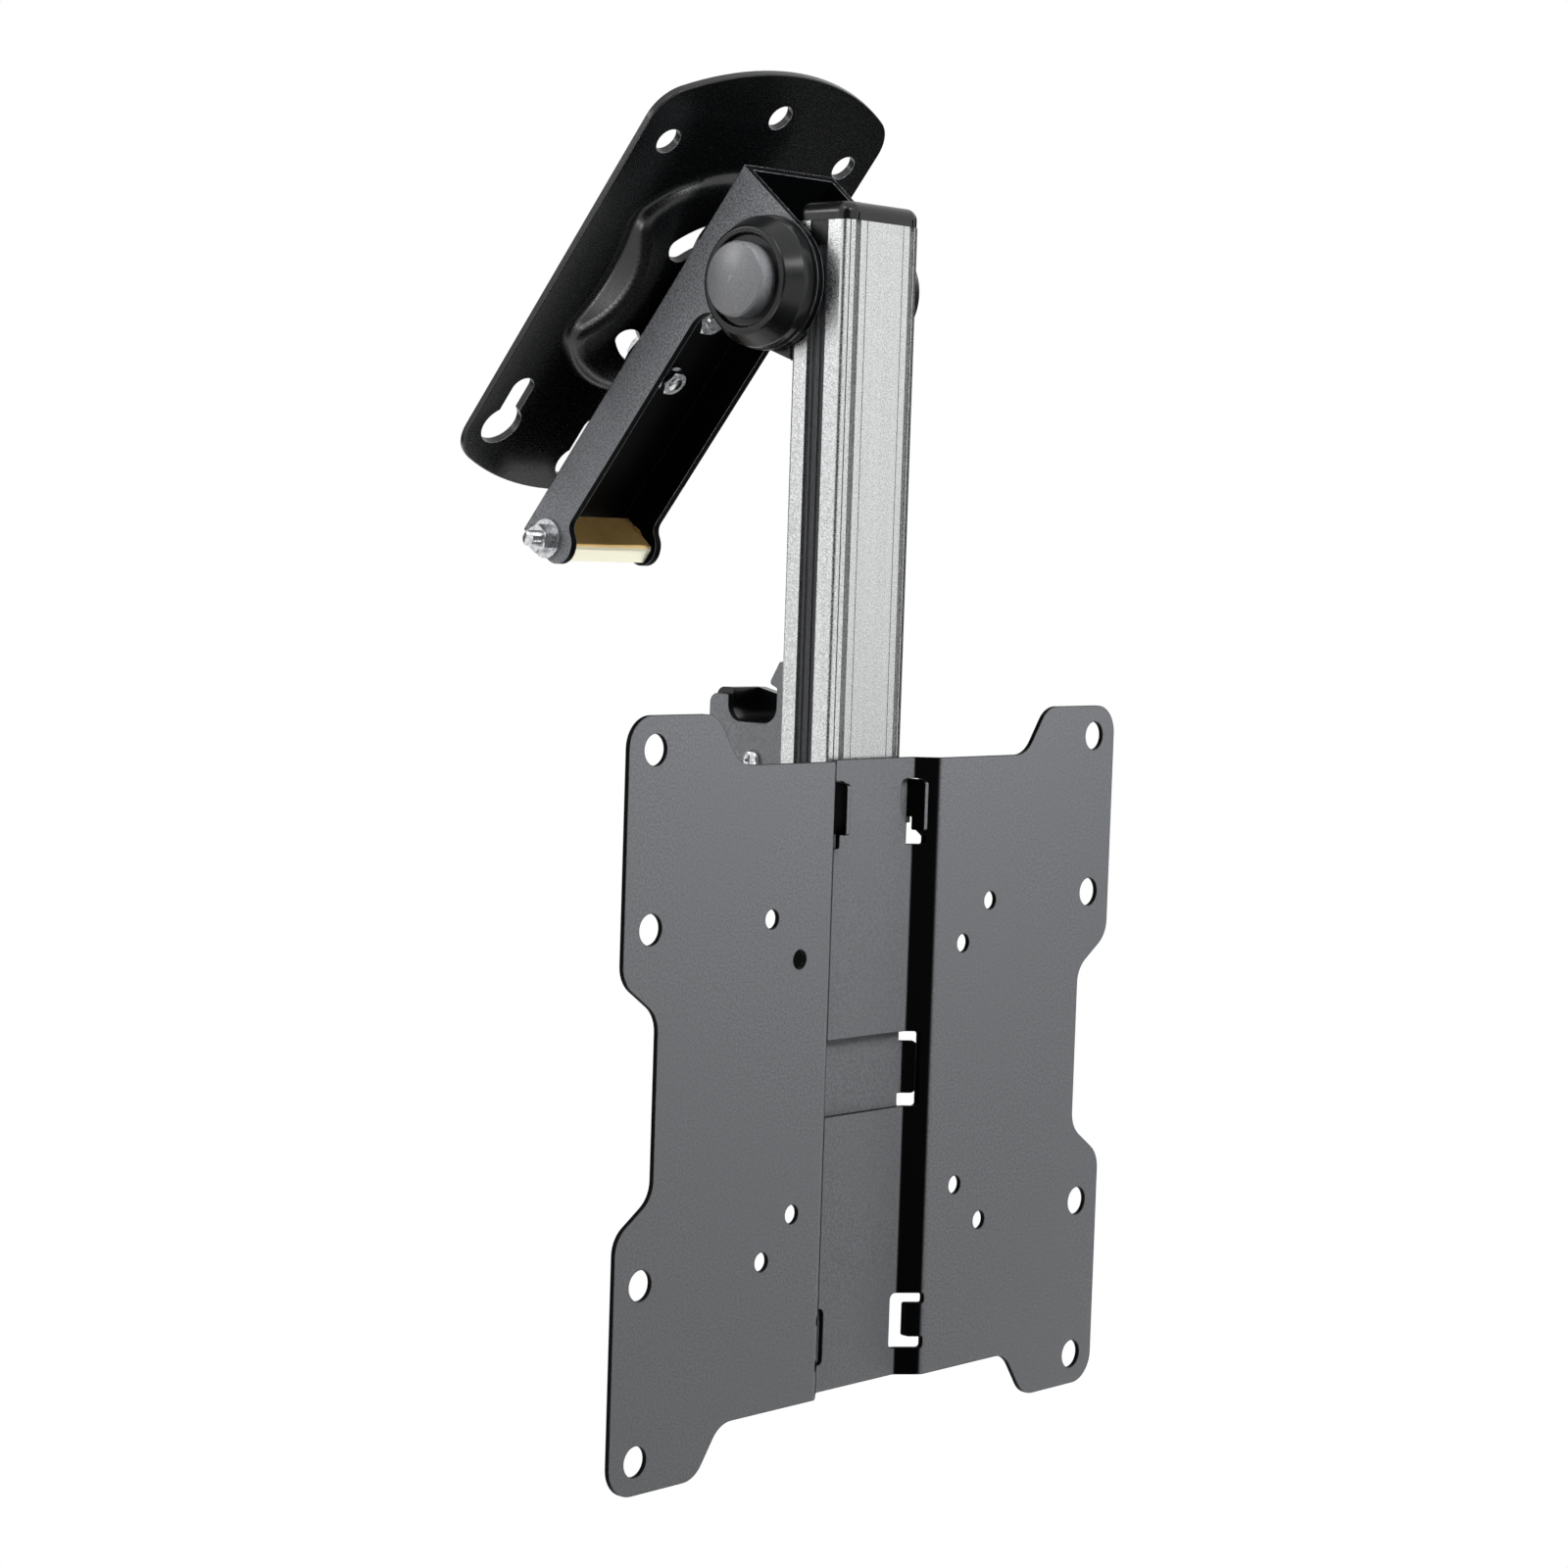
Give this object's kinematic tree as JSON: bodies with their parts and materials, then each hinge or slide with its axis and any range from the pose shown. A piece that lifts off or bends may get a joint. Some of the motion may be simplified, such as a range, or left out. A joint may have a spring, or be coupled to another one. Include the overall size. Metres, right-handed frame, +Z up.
{
  "type": "tv mount",
  "caption": "Tilting and swivelling ceiling mount for a flat screen: pressed ceiling plate, arm channel, folding aluminium pole and hooked screen plate.",
  "frame": {"origin": "centre of the ceiling plate's upper face, over the pressed dish", "axes": "+X right along the hinge as a viewer in front of the screen sees it, +Y back, away from the viewer, +Z up along the plumb pole"},
  "size_m": [0.2208, 0.1481, 0.4093],
  "materials": {
    "black_coat": "satin black powder coat, fine texture",
    "grey_coat": "dark grey powder coat, fine texture",
    "aluminium": "bead blasted and clear anodised",
    "bright_zinc": "bright zinc plate",
    "yellow_zinc": "yellow passivated zinc plate",
    "spring_steel": "drawn spring wire",
    "black_plastic": "moulded, soft sheen",
    "cap_plastic": "moulded, fine spark texture",
    "insert_plastic": "extruded, soft sheen",
    "washer_plastic": "natural acetal"
  },
  "bodies": {
    "ceiling_plate": {"ceiling_plate": "black_coat"},
    "arm": {"arm_channel": "black_coat", "swivel_pad": "black_plastic", "swivel_bolt": "bright_zinc", "swivel_nut": "bright_zinc", "lock_bolts": "bright_zinc", "lock_washers": "bright_zinc", "web_washers": "bright_zinc", "web_nuts": "bright_zinc", "hinge_bolt": "bright_zinc", "hinge_nut": "bright_zinc", "hinge_spring_washers": "bright_zinc", "hinge_cover_left": "black_plastic", "hinge_cover_right": "black_plastic", "hinge_cap_left": "cap_plastic", "hinge_cap_right": "cap_plastic", "friction_washers": "washer_plastic", "catch_bolt": "bright_zinc", "catch_nut": "bright_zinc", "catch_washers": "bright_zinc"},
    "pole": {"pole": "aluminium", "slot_insert_left": "insert_plastic", "slot_insert_right": "insert_plastic", "top_cap": "black_plastic", "bottom_cap": "black_plastic", "hinge_bracket": "black_coat", "bracket_screws": "bright_zinc", "screen_plate": "grey_coat", "carrier": "grey_coat", "carrier_screws": "bright_zinc", "latch_bracket": "grey_coat", "latch_screws": "bright_zinc", "latch_cradle": "black_plastic", "cradle_screws": "bright_zinc"},
    "catch": {"catch": "yellow_zinc", "catch_spring": "spring_steel"}
  },
  "joints": [
    {"name": "swivel", "type": "hinge", "parent": "ceiling_plate", "child": "arm", "pos_m": [0, -0.01326, -0.0064], "axis": [0, 0.7716, 0.6361], "range_deg": [-45, 45]},
    {"name": "fold", "type": "hinge", "parent": "arm", "child": "pole", "pos_m": [0, -0.05965, -0.002], "axis": [1, 0, 0], "range_deg": [-50, 43]},
    {"name": "catch_turn", "type": "hinge", "parent": "arm", "child": "catch", "pos_m": [0, 0.03171, -0.08013], "axis": [1, 0, 0], "range_deg": [-10, 0], "stiffness_Nm_per_rad": 0.3, "springref_deg": 5.73}
  ]
}
